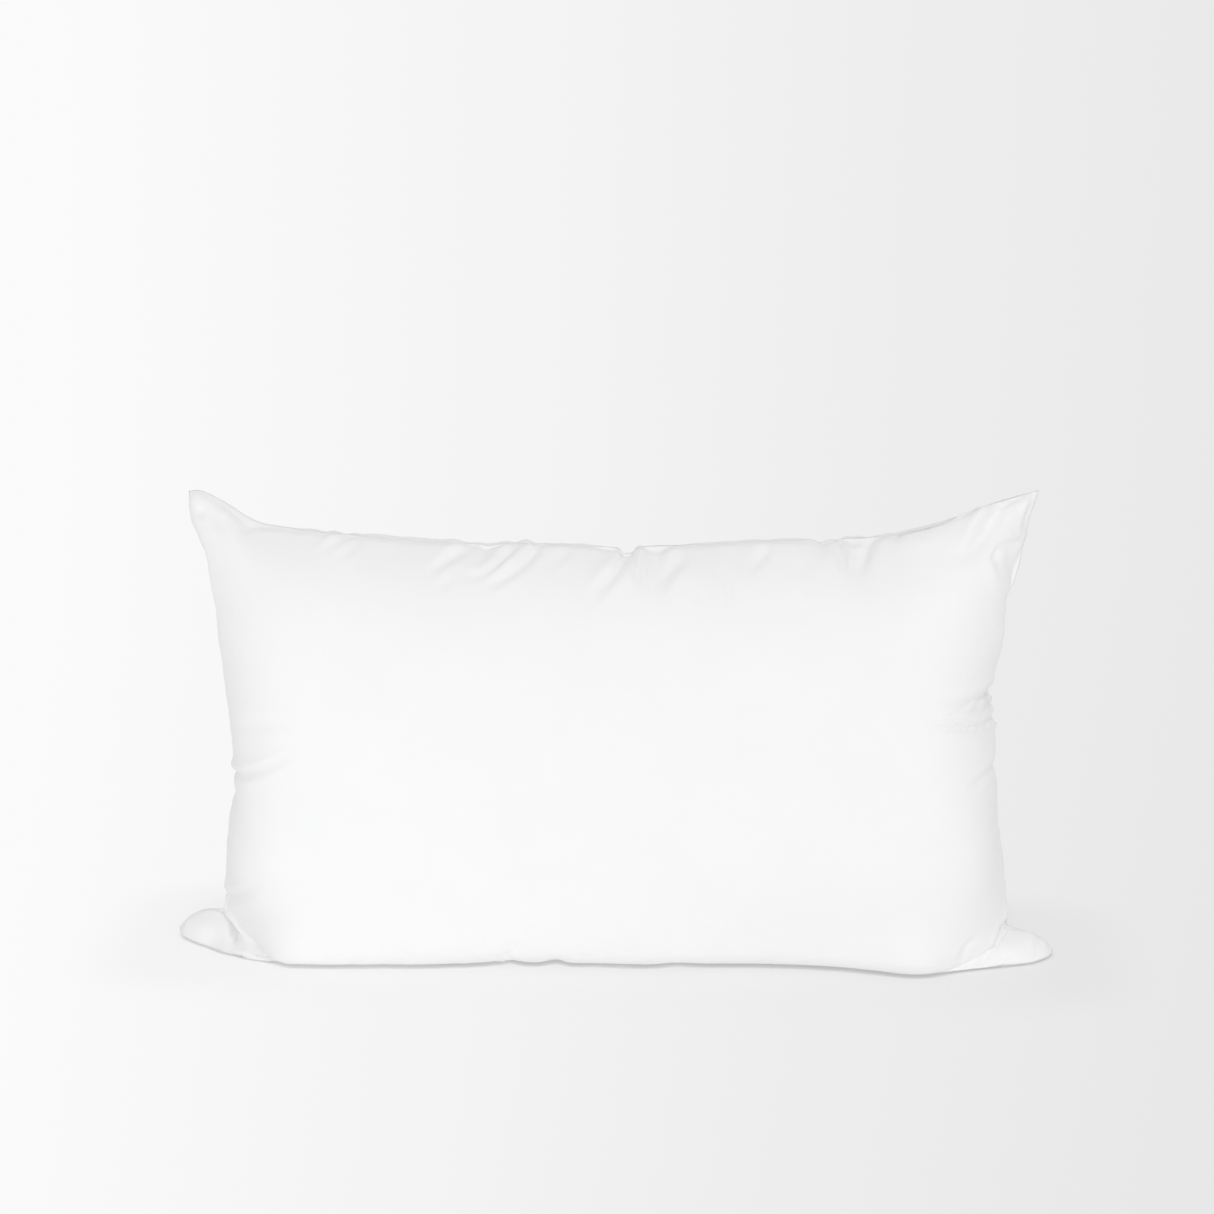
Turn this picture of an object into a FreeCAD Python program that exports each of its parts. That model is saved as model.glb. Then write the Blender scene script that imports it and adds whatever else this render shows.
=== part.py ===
"""Oblong bed pillow standing on its long edge: two sewn cotton panels round a loose filling.

Each panel is cut 630 x 376 mm, and the turned case is 610 x 356 mm flat. The filling draws its
seams in to the lengths and heights given here.

Frame: X along the pillow's length, the front panel faces -Y, +Z up. The origin is under the
middle of the pillow, on the surface that it stands on. Every length is in millimetres.
"""

import FreeCAD
import Part

import math
import os

SEAM_ALLOWANCE = 10.0  # turned in on every side of both panels
FABRIC = 0.4  # thickness of the woven cotton
THREAD = 0.3  # thickness of the sewing thread

# The filled pillow, as it stands on its long edge. The four seams lie in the plane y = 0.
TOP_SEAM_HEIGHT = 280.0  # at the middle of the pillow
TOP_EAR_HEIGHT = 322.0  # at the tips of the two upper corners
WAIST_HALF_LENGTH = 256.0  # where the filling pulls the side seams in
TOP_EAR_HALF_LENGTH = 286.0
FLOOR_EAR_HALF_LENGTH = 302.0
FLOOR_EAR_RISE = 16.0  # how soon the side seam leaves the lower corner
FRONT_DEPTH = 82.0  # from the seam plane to the fullest part of the front
BACK_DEPTH = 80.0
BELLY_HEIGHT = 100.0  # height of the fullest part
FLOOR_SHARE = 0.77  # depth at the surface that it stands on, as a share of the fullest depth

# Powers of the rounded profiles: a higher crown is flatter in the middle, and a lower edge
# power is blunter at the seam.
TOP_SEAM_POWER = 2.2
SIDE_SEAM_POWER = 3.0
SIDE_CROWN, SIDE_EDGE = 4.0, 0.6
TOP_CROWN, TOP_EDGE = 2.2, 0.62

# A body inside the case stops short of the seams by its margin. Beside the lower corners the
# side seam slants, so the margin counts for more along X.
SLANT = 2.2
CASE_MARGIN = 1.2
FILL_MARGIN = 4.5
FILL_GAP = 0.5  # from the cloth to the filling
SLOT_GAP = 0.4  # from the seam allowances and threads to the filling

STITCH_INSET = 3.2  # of the lockstitch, from the turned edge
OVERLOCK_INSET = 7.0  # of the overlock's straight strands, from the turned edge
CLOSING_LENGTH = 150.0  # the opening in the lower seam that the filling went in by

LABEL_LENGTH, LABEL_WIDTH = 40.0, 28.0
LABEL_THICKNESS = 0.3
LABEL_HEIGHT = 92.0  # of the label's middle, on the side seam
LABEL_LIFT = 0.8  # from the back panel to the label
LABEL_EDGE = 0.992  # where it starts, as a share of the half length
LABEL_POINTS = 9

COLUMNS, ROWS = 41, 35  # points through which a panel's surface is interpolated
OUTLINE_POINTS = 60

FRONT, BACK = -1.0, 1.0


def spread(count):
    """Numbers from 0 to 1 that crowd together at both ends."""
    return [(1.0 - math.cos(math.pi * i / (count - 1))) / 2.0 for i in range(count)]


def top_seam(across):
    """Height of the top seam. across runs from -1 at the left side seam to 1."""
    rise = TOP_EAR_HEIGHT - TOP_SEAM_HEIGHT
    return TOP_SEAM_HEIGHT + rise * abs(across) ** TOP_SEAM_POWER


def side_seam(height):
    """Distance of the side seam from the middle, drawn in at the waist and out at both ears."""
    share = min(1.0, height / TOP_EAR_HEIGHT)
    upper = (TOP_EAR_HALF_LENGTH - WAIST_HALF_LENGTH) * share**SIDE_SEAM_POWER
    flare = FLOOR_EAR_HALF_LENGTH - WAIST_HALF_LENGTH
    return WAIST_HALF_LENGTH + upper + flare * math.exp(-((height / FLOOR_EAR_RISE) ** 2))


def depth_share(share):
    """Depth at a share of the height, as a share of the fullest depth."""
    belly = BELLY_HEIGHT / TOP_SEAM_HEIGHT
    if share < belly:
        return 1.0 - (1.0 - FLOOR_SHARE) * (1.0 - share / belly) ** 2
    above = (share - belly) / (1.0 - belly)
    return max(0.0, 1.0 - above**TOP_CROWN) ** TOP_EDGE


def wall_point(depth, across, share, margin=0.0, floor=0.0):
    """A point of a front panel: across from -1 to 1 along it, share from its foot up."""
    height = floor + share * (top_seam(across) - margin - floor)
    length = across * (side_seam(height) - margin * SLANT)
    crown = max(0.0, 1.0 - abs(across) ** SIDE_CROWN) ** SIDE_EDGE
    return FreeCAD.Vector(length, -depth * depth_share(share) * crown, height)


def half_body(side, margin=0.0, inward=0.0, near=0.0):
    """One half of the pillow, closed by a flat face beside the seam plane and one underneath.

    Its wall lies inward of the panel's outer face, its flat face near from the seam plane.
    """
    depth = (FRONT_DEPTH if side == FRONT else BACK_DEPTH) - inward - near
    foot_level = FreeCAD.Vector(0, 0, inward)
    rows = [
        [wall_point(depth, 2.0 * u - 1.0, v, margin, inward) - foot_level for v in spread(ROWS)]
        for u in spread(COLUMNS)
    ]
    surface = Part.BSplineSurface()
    surface.interpolate(rows)
    u_low, u_high, v_low, v_high = surface.bounds()
    left = surface.uIso(u_low).toShape()
    right = surface.uIso(u_high).toShape()
    foot = surface.vIso(v_low).toShape()
    top = surface.vIso(v_high).toShape()
    base = Part.makeLine(foot.Vertexes[0].Point, foot.Vertexes[-1].Point)
    seam_face = Part.Face(Part.Wire(Part.__sortEdges__([left, top, right, base])))
    floor_face = Part.Face(Part.Wire(Part.__sortEdges__([foot, base])))
    shell = Part.Shell([surface.toShape(), seam_face, floor_face])
    shell.sewShape()
    solid = Part.Solid(Part.Shell(shell.Faces))
    if solid.Volume < 0:
        solid.reverse()
    solid.translate(foot_level - FreeCAD.Vector(0, near, 0))
    return solid if side == FRONT else turned_to_back(solid)


def turned_to_back(shape):
    """A front shape mirrored in the seam plane."""
    return shape.mirror(FreeCAD.Vector(0, 0, 0), FreeCAD.Vector(0, 1, 0))


def outline(inset):
    """The seam line in the plane y = 0, stepped in by the same distance all round."""
    sides = []
    for share in spread(OUTLINE_POINTS):
        height = inset + share * (TOP_EAR_HEIGHT - 2.0 * inset)
        sides.append((side_seam(height) - inset * (1.0 + slope(height)), height))
    trim = sides[-1][0] / side_seam(TOP_EAR_HEIGHT)
    top = []
    for u in spread(OUTLINE_POINTS):
        across = 2.0 * u - 1.0
        height = top_seam(across)
        top.append(FreeCAD.Vector(across * side_seam(height) * trim, 0, height - inset))
    right = [FreeCAD.Vector(x, 0, z) for x, z in sides]
    left = [FreeCAD.Vector(-x, 0, z) for x, z in sides]
    edges = []
    for points in (left, top, right):
        curve = Part.BSplineCurve()
        curve.interpolate(points)
        edges.append(curve.toShape())
    edges.append(Part.makeLine(left[0], right[0]))
    return Part.Face(Part.Wire(Part.__sortEdges__(edges)))


def slope(height):
    """How far the side seam slants beside the lower corner: sideways over upwards."""
    flare = FLOOR_EAR_HALF_LENGTH - WAIST_HALF_LENGTH
    steep = 2.0 * flare * height / FLOOR_EAR_RISE**2
    return steep * math.exp(-((height / FLOOR_EAR_RISE) ** 2))


def ring(outer_inset, inner_inset, low_y, high_y):
    """A strip that follows the seam, between two insets, from one depth to another."""
    face = outline(outer_inset).cut(outline(inner_inset))
    face.translate(FreeCAD.Vector(0, low_y, 0))
    return face.extrude(FreeCAD.Vector(0, high_y - low_y, 0))


def layer(side, near, far):
    """Lowest and highest y of a layer that lies near to far from the seam plane on one side."""
    return sorted((side * near, side * far))


def window(inset, reach):
    """What lies inside the seam by the inset, out to the reach on both sides of its plane."""
    face = outline(inset)
    face.translate(FreeCAD.Vector(0, -reach, 0))
    return face.extrude(FreeCAD.Vector(0, 2.0 * reach, 0))


def panel(side):
    """One cotton panel with its seam allowance turned in, its inner edge left raw."""
    room = half_body(side, CASE_MARGIN, FABRIC, FABRIC)
    hollow = room.fuse(window(SEAM_ALLOWANCE, 2.0 * FABRIC))
    return half_body(side).cut(hollow)


def fill():
    """The loose filling, with a slot all round for the turned-in allowances."""
    half_slot = FABRIC + THREAD + SLOT_GAP
    halves = [half_body(side, FILL_MARGIN, FABRIC + FILL_GAP, half_slot) for side in (FRONT, BACK)]
    middle = window(SEAM_ALLOWANCE + THREAD + SLOT_GAP, 2.0 * half_slot)
    return halves[0].fuse([halves[1], middle]).removeSplitter()


def opening_block():
    """The stretch of the lower seam that stays open until the filling is in."""
    tall, deep = 2.0 * SEAM_ALLOWANCE, 2.0 * SEAM_ALLOWANCE
    corner = FreeCAD.Vector(-CLOSING_LENGTH / 2.0, -deep / 2.0, 0)
    return Part.makeBox(CLOSING_LENGTH, deep, tall, corner)


def lockstitch(side):
    """The strand of the lockstitch that lies on one side of the two allowances."""
    strand = ring(STITCH_INSET, STITCH_INSET + THREAD, *layer(side, FABRIC, FABRIC + THREAD))
    return strand.cut(opening_block())


def closing_thread():
    """The slip stitch that closes the opening: one strand along each folded edge."""
    strands = []
    for side in (FRONT, BACK):
        low_y = layer(side, FABRIC, FABRIC + THREAD)[0]
        corner = FreeCAD.Vector(-CLOSING_LENGTH / 2.0 + THREAD, low_y, STITCH_INSET)
        strands.append(Part.makeBox(CLOSING_LENGTH - 2.0 * THREAD, THREAD, THREAD, corner))
    return Part.makeCompound(strands)


def overlock_thread():
    """The overlock round the raw edges: a strand on each side and the loops over the edge."""
    outside = FABRIC + THREAD
    front_strand = ring(OVERLOCK_INSET, OVERLOCK_INSET + THREAD, *layer(FRONT, FABRIC, outside))
    back_strand = ring(OVERLOCK_INSET, OVERLOCK_INSET + THREAD, *layer(BACK, FABRIC, outside))
    edge = ring(SEAM_ALLOWANCE, SEAM_ALLOWANCE + THREAD, -outside, outside)
    return Part.makeCompound(front_strand.Solids + back_strand.Solids + edge.Solids)


def care_label():
    """A blank care label, caught in the side seam and lying on the back panel."""
    low = (LABEL_HEIGHT - LABEL_WIDTH / 2.0) / TOP_EAR_HEIGHT
    high = (LABEL_HEIGHT + LABEL_WIDTH / 2.0) / TOP_EAR_HEIGHT
    reach = label_reach()
    rows = []
    for along in spread(LABEL_POINTS):
        across = reach * along - LABEL_EDGE
        row = [wall_point(BACK_DEPTH, across, low + (high - low) * v) for v in spread(LABEL_POINTS)]
        rows.append(row)
    surface = Part.BSplineSurface()
    surface.interpolate(rows)
    face = surface.toShape()
    length = rows[-1][0] - rows[0][0]
    outward = length.cross(FreeCAD.Vector(0, 0, 1)).normalize()
    face.translate(outward * LABEL_LIFT)
    return turned_to_back(face.extrude(outward * LABEL_THICKNESS))


def label_reach():
    """The label's length as a step of the across coordinate, over the steep side of the back."""
    share = LABEL_HEIGHT / TOP_EAR_HEIGHT
    step = 0.002
    across, travelled = -LABEL_EDGE, 0.0
    last = wall_point(BACK_DEPTH, across, share)
    while travelled < LABEL_LENGTH:
        across += step
        point = wall_point(BACK_DEPTH, across, share)
        travelled += (point - last).Length
        last = point
    return across + LABEL_EDGE


def write(name, shape):
    """Writes one node and stops the run if its solids aren't sound."""
    if not shape.isValid() or not shape.Solids:
        raise RuntimeError(name + " is not a valid solid")
    shape.exportStep("parts/" + name + ".step")
    box = shape.BoundBox
    print(
        f"{name}: {len(shape.Solids)} solid(s), {shape.Volume / 1e3:.2f} cm3,"
        f" x {box.XMin:.1f}..{box.XMax:.1f} y {box.YMin:.1f}..{box.YMax:.1f}"
        f" z {box.ZMin:.1f}..{box.ZMax:.1f}"
    )


def main():
    os.makedirs("parts", exist_ok=True)
    write("front_panel", panel(FRONT))
    write("back_panel", panel(BACK))
    write("fill", fill())
    write("seam_needle_thread", lockstitch(FRONT))
    write("seam_bobbin_thread", lockstitch(BACK))
    write("closing_thread", closing_thread())
    write("overlock_thread", overlock_thread())
    write("care_label", care_label())


main()
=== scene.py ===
"""White oblong bed pillow standing on its long edge, on a pale seamless ground.

The case is simulated as cloth: two flat panels, joined along the seams, that the filling pushes
out onto a floor. Creases, puckers and the turned-in seam allowances are then worked into it.
Tables are in millimetres, in the CAD model's frame: X along the pillow, the front faces -Y.
"""

import math

import bpy
import numpy as np
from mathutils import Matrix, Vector


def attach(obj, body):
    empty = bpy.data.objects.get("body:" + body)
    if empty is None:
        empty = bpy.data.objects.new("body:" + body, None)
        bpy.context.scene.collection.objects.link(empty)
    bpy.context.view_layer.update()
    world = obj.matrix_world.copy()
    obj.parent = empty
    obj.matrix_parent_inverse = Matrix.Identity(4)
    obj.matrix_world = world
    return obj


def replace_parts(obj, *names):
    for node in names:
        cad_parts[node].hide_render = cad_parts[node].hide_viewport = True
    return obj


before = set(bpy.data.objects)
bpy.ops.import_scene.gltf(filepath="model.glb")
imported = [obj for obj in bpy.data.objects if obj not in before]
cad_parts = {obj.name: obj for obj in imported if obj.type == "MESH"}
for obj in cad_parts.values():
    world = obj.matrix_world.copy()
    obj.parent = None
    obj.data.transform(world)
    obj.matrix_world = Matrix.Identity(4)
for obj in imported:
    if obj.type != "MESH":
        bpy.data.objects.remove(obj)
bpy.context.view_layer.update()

MM = 0.001

# The turned case, flat, and its cloth.
CASE_LENGTH, CASE_WIDTH = 610 * MM, 356 * MM
ALLOWANCE = 10 * MM
CLOTH = 0.4 * MM
WEAVE_GIVE = 1.02  # how far the weave gives where the filling pushes
COLUMNS, ROWS = 122, 72  # cells of each simulated panel
CELL = 5.0  # nearly the size of one

# The four seams of the filled pillow.
FLOOR_SEAM = [
    (-304.5, 7, 3), (-300.5, -5, 1.4), (-291, -16, 1.2), (-280, -25, 1.2), (-268, -36, 1.2),
    (-254, -41, 1.2), (-235, -34, 1.2), (-190, -16, 1.2), (-120, -6, 1.2), (0, -2, 1.2),
    (120, -5, 1.2), (190, -14, 1.2), (235, -31, 1.2), (254, -35, 1.2), (270, -30, 1.2),
    (285, -24, 1.2), (293, -17, 1.2), (298.5, -9, 1.2), (300.5, 0, 1.6),
]
LEFT_SEAM = [
    (-304.5, 7, 3), (-299, 7, 9.5), (-289, 6, 16), (-281, 5, 18), (-271.5, 2, 20), (-267.5, 0, 41),
    (-263.5, 0, 80), (-260, 0, 115), (-262, 0, 165), (-266.5, 0, 206), (-271.5, 0, 241),
    (-278, 6, 270.6), (-286.5, 13, 285.4), (-292, 20, 300), (-292.6, 24, 311),
]
RIGHT_SEAM = [
    (300.5, 0, 1.6), (297, 2, 6.5), (291, 3, 10.3), (285, 3, 13), (276, 3, 15.8), (268, 1, 20),
    (268, 0, 30), (262.5, 0, 70), (256.5, 0, 110), (255, 0, 145), (254, 0, 175), (255, 0, 200),
    (260, 0, 225), (263, 0, 247), (271, 5, 271.6), (274, 12, 285.2), (278, 19, 303),
    (283, 22, 320),
]
TOP_SEAM = [
    (-292.6, 24, 311), (-285, 23, 312), (-268, 17, 305.5), (-243, 7, 294.2), (-214, 2, 290.4),
    (-180, 0, 287.5), (-112, 0, 283), (-50, 0, 283), (8, 0, 281.5), (28, 3, 282), (57, 0, 284),
    (110, 0, 287.3), (146, 1, 288.6), (163, 3, 289.8), (182, -3, 292.2), (200, -8, 296.8),
    (214, -8, 301), (232, -3, 307.2), (250, 6, 313), (266, 14, 316.6), (283, 22, 320),
]

# Places where the seam is drawn in: (place along the seam, depth, half width).
TOP_NOTCHES = [(-84.5, 1.8, 9), (8.6, 5.6, 11), (141.6, 5, 10)]
LEFT_NOTCHES = [(114.8, 4.2, 13), (185, 0.8, 6)]
RIGHT_NOTCHES = [(186.1, 6.3, 14), (137, 3.0, 10), (251, 4, 8)]
NOTCH_FADE = 14.0  # how far in from the seam a notch draws the cloth

# How far the cloth reaches on the floor before the simulation: (x, y).
FRONT_REACH = [
    (-305, 7), (-300, -8), (-290, -20), (-281, -30), (-268, -47), (-257, -63), (-246, -66),
    (-211, -65), (-143, -62), (-89, -58), (-41, -56), (40, -51), (100, -46), (160, -47),
    (196, -52), (222, -59), (240, -60), (255, -53), (268, -42), (285, -31), (295, -18), (300, 0),
]
BACK_REACH = [
    (-305, 7), (-285, 4), (-265, 28), (-250, 40), (0, 40), (235, 36), (250, 26), (285, 2), (300, 0),
]
# The middle of the front from the lower seam to the top one: (0, y, z).
PROFILE = [
    (0, 0, 0), (0, -30, 0), (0, -50, 3), (0, -64, 14), (0, -75, 50), (0, -79, 95), (0, -76, 150),
    (0, -67, 200), (0, -51, 243), (0, -30, 267), (0, 0, 282),
]
BACK_LOFT = 0.97  # the back stands out a little less than the front
FULL_REACH = -50  # the profile's y where a panel has its whole reach on the floor
FOOT_END, FOOT_FADE = 0.13, 0.22  # shares of the height up to which a panel follows its reach
REACH_BLUR = np.array([1, 2, 3, 4, 3, 2, 1]) / 16
EAR_PLUMPNESS = 12.0
EAR_LENGTH, EAR_HEIGHT = 38.0, 45.0  # of the corners beside the lower ends
EAR_ROUNDING = 12  # how far from its edges an ear is at its full thickness
EAR_SWELLS = (0.5, -0.6)  # in Y and Z at the back; at the front the other way

FRONT, BACK = -1, 1


def smooth_step(t):
    t = np.clip(t, 0, 1)
    return t * t * (3 - 2 * t)


def smooth_curve(points, steps=24):
    """A centripetal Catmull-Rom curve through the points."""
    p = np.array(points, float)
    p = np.vstack([2 * p[0] - p[1], p, 2 * p[-1] - p[-2]])
    dense = []
    for a, b, c, d in zip(p[:-3], p[1:-2], p[2:-1], p[3:]):
        before, here, after = (np.linalg.norm(v) ** 0.5 for v in (b - a, c - b, d - c))
        leave = c - b + here * ((b - a) / before - (c - a) / (before + here))
        arrive = c - b + here * ((d - c) / after - (d - b) / (here + after))
        t = np.linspace(0, 1, steps, endpoint=False)[:, None]
        dense.append(
            (2 * t**3 - 3 * t**2 + 1) * b + (t**3 - 2 * t**2 + t) * leave
            + (3 * t**2 - 2 * t**3) * c + (t**3 - t**2) * arrive
        )
    return np.vstack(dense + [p[-2:-1]])


def evenly(points, count):
    """The same line through evenly spaced points."""
    run = np.concatenate([[0], np.cumsum(np.linalg.norm(np.diff(points, axis=0), axis=1))])
    at = np.linspace(0, run[-1], count)
    return np.stack([np.interp(at, run, points[:, k]) for k in range(3)], 1)


def drawn_in(position, notches):
    """How far the notches draw a seam in at each position along it."""
    total = np.zeros_like(position)
    for place, depth, half_width in notches:
        total += depth * np.clip(1 - np.abs(position - place) / half_width, 0, 1) ** 1.6
    return total


def seams():
    """The lower, top, left and right seams, in millimetres."""
    lines = (FLOOR_SEAM, COLUMNS), (TOP_SEAM, COLUMNS), (LEFT_SEAM, ROWS), (RIGHT_SEAM, ROWS)
    return [evenly(smooth_curve(points), cells + 1) for points, cells in lines]


def draw_in_panel(p, top, left, right):
    """Draws a panel in at the notches, less and less away from the seam."""
    for seam, along, across, way, notches in (
        (top[None], 0, 2, -1, TOP_NOTCHES),
        (left[:, None], 2, 0, 1, LEFT_NOTCHES),
        (right[:, None], 2, 0, -1, RIGHT_NOTCHES),
    ):
        fade = np.exp(-np.linalg.norm(p - seam, axis=-1) / NOTCH_FADE)
        p[:, :, across] += way * drawn_in(seam[..., along], notches) * fade


def start_shape():
    """Both panels as the simulation starts: stretched between the seams and pushed out."""
    floor, top, left, right = seams()
    u = np.linspace(0, 1, COLUMNS + 1)[None, :, None]
    v = np.linspace(0, 1, ROWS + 1)[:, None, None]
    between = (1 - v) * floor + v * top + (1 - u) * left[:, None] + u * right[:, None]
    between -= (1 - u) * (1 - v) * floor[0] + u * (1 - v) * floor[-1]
    between -= (1 - u) * v * top[0] + u * v * top[-1]
    profile = evenly(smooth_curve(PROFILE), ROWS + 1)
    across = np.abs(2 * u[:, :, 0] - 1)
    low = 1 - v[:, :, 0]
    # The panels fall off to the sides in a round, and more squarely towards the foot.
    crown = (1 - across ** (4.5 + 8 * low**2)) ** (0.75 - 0.25 * low**2)
    foot = smooth_step(1 - (v[:, :, 0] - FOOT_END) / FOOT_FADE)
    panels = []
    for side, table, loft in ((FRONT, FRONT_REACH, 1.0), (BACK, BACK_REACH, BACK_LOFT)):
        reach = np.interp(between[0, :, 0], *zip(*table))
        reach = np.convolve(np.pad(reach, len(REACH_BLUR) // 2, "edge"), REACH_BLUR, "valid")
        p = between.copy()
        body = p[:, :, 1] * (1 - crown) - side * profile[:, 1:2] * crown * loft
        forward = np.clip(profile[:, 1:2] / FULL_REACH, 0, 1.25)
        standing = floor[:, 1] + (reach - floor[:, 1]) * forward
        p[:, :, 1] = foot * standing + (1 - foot) * body
        rise = crown**0.7
        p[:, :, 2] = (1 - rise) * p[:, :, 2] + rise * profile[:, 2:3] * top[:, 2] / PROFILE[-1][2]
        for from_side in (u[:, :, 0] * CASE_LENGTH / MM, (1 - u[:, :, 0]) * CASE_LENGTH / MM):
            p = with_ear(p, between, side, from_side, v[:, :, 0] * CASE_WIDTH / MM)
        p[0], p[-1], p[:, 0], p[:, -1] = floor, top, left, right
        for row in range(1, ROWS):
            p[row] = evenly(p[row], COLUMNS + 1)
        draw_in_panel(p, top, left, right)
        panels.append(p * MM)
    return panels


def with_ear(p, between, side, from_side, from_floor):
    """Gives a panel the plump corner that lies beside a lower end of the pillow."""
    near = np.exp(-((from_side / EAR_LENGTH) ** 2) - (from_floor / EAR_HEIGHT) ** 2)[:, :, None]
    swell = EAR_PLUMPNESS * (1 - np.exp(-from_side / EAR_ROUNDING))
    swell = swell * (1 - np.exp(-from_floor / EAR_ROUNDING))
    outward, upward = EAR_SWELLS
    ear = between + swell[:, :, None] * np.array([0.0, side * outward, side * upward])
    return near * ear + (1 - near) * p


def flat_panel():
    """A panel as it was cut, less its allowances. A notch takes cloth into the seam."""
    def taken(position, notches, from_seam):
        return MM * drawn_in(position, notches) * np.exp(-from_seam / (NOTCH_FADE * MM))

    _, top, left, right = seams()
    x = np.linspace(-CASE_LENGTH / 2, CASE_LENGTH / 2, COLUMNS + 1)
    x, z = np.meshgrid(x, np.linspace(0, CASE_WIDTH, ROWS + 1))
    z = z - taken(top[:, 0], TOP_NOTCHES, CASE_WIDTH - z)
    moved = x + taken(left[:, 2:], LEFT_NOTCHES, CASE_LENGTH / 2 + x)
    moved -= taken(right[:, 2:], RIGHT_NOTCHES, CASE_LENGTH / 2 - x)
    return np.stack([moved, np.zeros_like(x), z], -1) * WEAVE_GIVE


def grid_faces(index):
    """Four-cornered faces of a grid of vertex numbers."""
    corners = (index[:-1, :-1], index[:-1, 1:], index[1:, 1:], index[1:, :-1])
    return np.stack(corners, -1).reshape(-1, 4)


def border_of(index):
    """The numbers round the edge of a grid, in order."""
    return np.concatenate([index[0, :-1], index[:-1, -1], index[-1, :0:-1], index[:0:-1, 0]])


def joined(front, back):
    """Two panels that share their border: points, faces, and both grids of point numbers."""
    index = np.arange(front[:, :, 0].size).reshape(front.shape[:2])
    inner = np.zeros_like(index, bool)
    inner[1:-1, 1:-1] = True
    back_index = index.copy()
    back_index[inner] = index.size + np.arange(inner.sum())
    points = np.vstack([front.reshape(-1, 3), back[inner]])
    faces = np.vstack([grid_faces(index), grid_faces(back_index)[:, ::-1]])
    return points, faces, index, back_index


def new_object(name, data):
    added = bpy.data.objects.new(name, data)
    bpy.context.scene.collection.objects.link(added)
    return added


def new_mesh(name, points, faces):
    mesh = bpy.data.meshes.new(name)
    mesh.from_pydata(np.asarray(points).tolist(), [], [list(map(int, f)) for f in faces])
    mesh.update()
    return new_object(name, mesh)


FRAMES = 30
CLOTH_SETTINGS = dict(
    quality=6, mass=0.001, air_damping=1, pin_stiffness=1,
    tension_stiffness=20, compression_stiffness=10, shear_stiffness=5, bending_stiffness=0.5,
    tension_damping=5, compression_damping=5, shear_damping=5, bending_damping=0.5,
    use_pressure=True, uniform_pressure_force=70.0,
    vertex_group_mass="pins", vertex_group_pressure="filling",
)
# The seams are fixed. The panels are only steadied, and the lower ears a little more.
SEAM_HOLD, PANEL_HOLD, EAR_HOLD = 1.0, 0.2, 0.3
LOW_EAR = (0.10, 0.09)  # how far in from the sides and up the lower ears reach
# An upper ear is nearly empty up to 0.03 m from its tip, and full 0.06 m further on.
TIP_EMPTY, TIP_FADE, TIP_PUSH = 0.03, 0.06, 0.08
# The filling gathers beside each lower corner: (place, size) from the side and from below.
LUMP_SIDE, LUMP_FLOOR, LUMP_PUSH = (0.045, 0.05), (0.05, 0.05), 0.5
GROUND_DROP, GROUND_SKIN = 1.2 * MM, 1 * MM  # the skin is the collision's distance from it


def push_and_hold(flat):
    """How hard the filling pushes at each point, and how firmly the point is steadied."""
    height = np.clip(flat[:, 2] / CASE_WIDTH, 0, 1)
    from_side = CASE_LENGTH / 2 - np.abs(flat[:, 0])
    from_edge = np.minimum(flat[:, 2], CASE_WIDTH - flat[:, 2])
    corner = np.hypot(np.maximum(from_side, 0), np.maximum(from_edge, 0))
    upper_ear = np.clip((corner - TIP_EMPTY) / TIP_FADE, TIP_PUSH, 1)
    low_lump = np.exp(
        -(((from_side - LUMP_SIDE[0]) / LUMP_SIDE[1]) ** 2)
        - ((from_edge - LUMP_FLOOR[0]) / LUMP_FLOOR[1]) ** 2
    )
    push = (1 - 0.5 * height) * np.where(height > 0.5, upper_ear, 1 + LUMP_PUSH * low_lump)
    low_ear = np.exp(-((from_side / LOW_EAR[0]) ** 2) - (from_edge / LOW_EAR[1]) ** 2)
    return push / push.max(), PANEL_HOLD + EAR_HOLD * low_ear * (height < 0.5)


def simulate_case():
    """Both panels after the filling has pushed the cloth out, as grids of points."""
    points, faces, index, back_index = joined(*start_shape())
    flat_points = joined(flat_panel(), flat_panel())[0]
    case = new_mesh("simulated_case", points, faces)

    case.shape_key_add(name="start")
    flat_key = case.shape_key_add(name="flat")
    flat_key.data.foreach_set("co", flat_points.astype(np.float32).ravel())
    flat_key.value = 0
    pins, filling = case.vertex_groups.new(name="pins"), case.vertex_groups.new(name="filling")
    push, hold = push_and_hold(flat_points)
    hold[border_of(index)] = SEAM_HOLD
    for number in range(len(points)):
        pins.add([number], float(hold[number]), "REPLACE")
        filling.add([number], float(push[number]), "REPLACE")

    cloth = case.modifiers.new("cloth", "CLOTH")
    settings, collision = cloth.settings, cloth.collision_settings
    for setting, value in CLOTH_SETTINGS.items():
        setattr(settings, setting, value)
    settings.rest_shape_key = flat_key
    settings.effector_weights.gravity = 0
    collision.distance_min = GROUND_SKIN
    collision.collision_quality = 2
    collision.use_self_collision = False
    square = [(-1, -1, 0), (1, -1, 0), (1, 1, 0), (-1, 1, 0)]
    ground = new_mesh("simulated_ground", square, [(0, 1, 2, 3)])
    ground.location.z = -GROUND_DROP
    ground.modifiers.new("collision", "COLLISION")
    ground.collision.thickness_outer = GROUND_SKIN
    ground.collision.cloth_friction = 20

    scene = bpy.context.scene
    scene.frame_start, scene.frame_end = 1, FRAMES
    cloth.point_cache.frame_start, cloth.point_cache.frame_end = 1, FRAMES
    for number in range(1, FRAMES + 1):
        scene.frame_set(number)
    settled = case.evaluated_get(bpy.context.evaluated_depsgraph_get()).data
    found = np.empty(len(points) * 3, np.float32)
    settled.vertices.foreach_get("co", found)
    found = found.reshape(-1, 3).astype(float)
    bpy.data.objects.remove(case)
    bpy.data.objects.remove(ground)
    scene.frame_set(1)
    return found[index], found[back_index]


# ---- the panels in detail

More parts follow.
